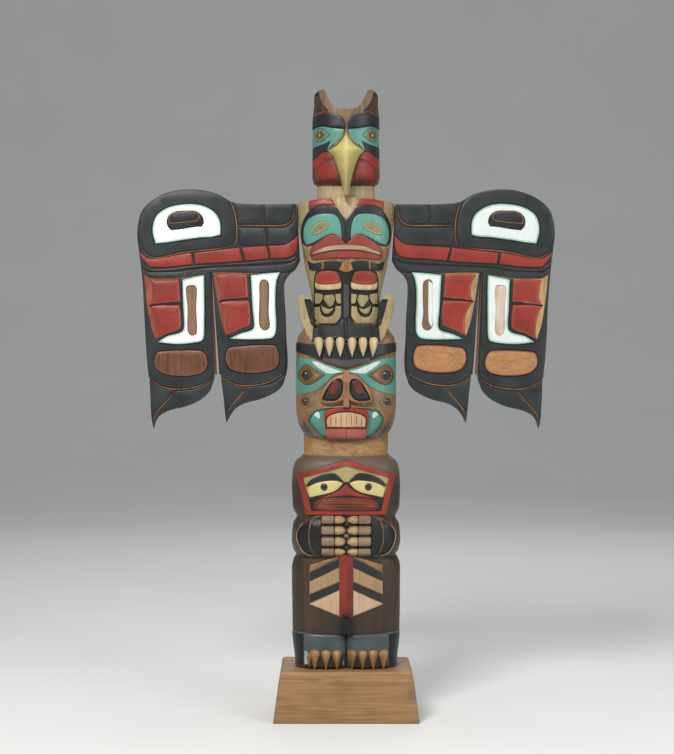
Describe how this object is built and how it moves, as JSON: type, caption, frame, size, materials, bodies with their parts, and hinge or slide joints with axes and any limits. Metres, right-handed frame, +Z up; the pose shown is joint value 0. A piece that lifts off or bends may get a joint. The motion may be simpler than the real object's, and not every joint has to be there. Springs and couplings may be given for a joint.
{
  "type": "totem pole",
  "caption": "Carved wooden model totem pole: stacked bird, mask and bear figures on one log, with two board wings and a block base.",
  "frame": {"origin": "middle of the base block's underside", "axes": "+Z up the pole, -Y towards the viewer in front of the figures, +X towards the viewer's right"},
  "size_m": [0.4166, 0.102, 0.6202],
  "materials": {
    "carved_log": "painted and oiled wood, satin",
    "wing_board": "painted wood, satin",
    "base_wood": "oiled bare wood, satin"
  },
  "bodies": {
    "root": {"pole": "carved_log", "wing_left": "wing_board", "wing_right": "wing_board", "base": "base_wood"}
  },
  "joints": []
}
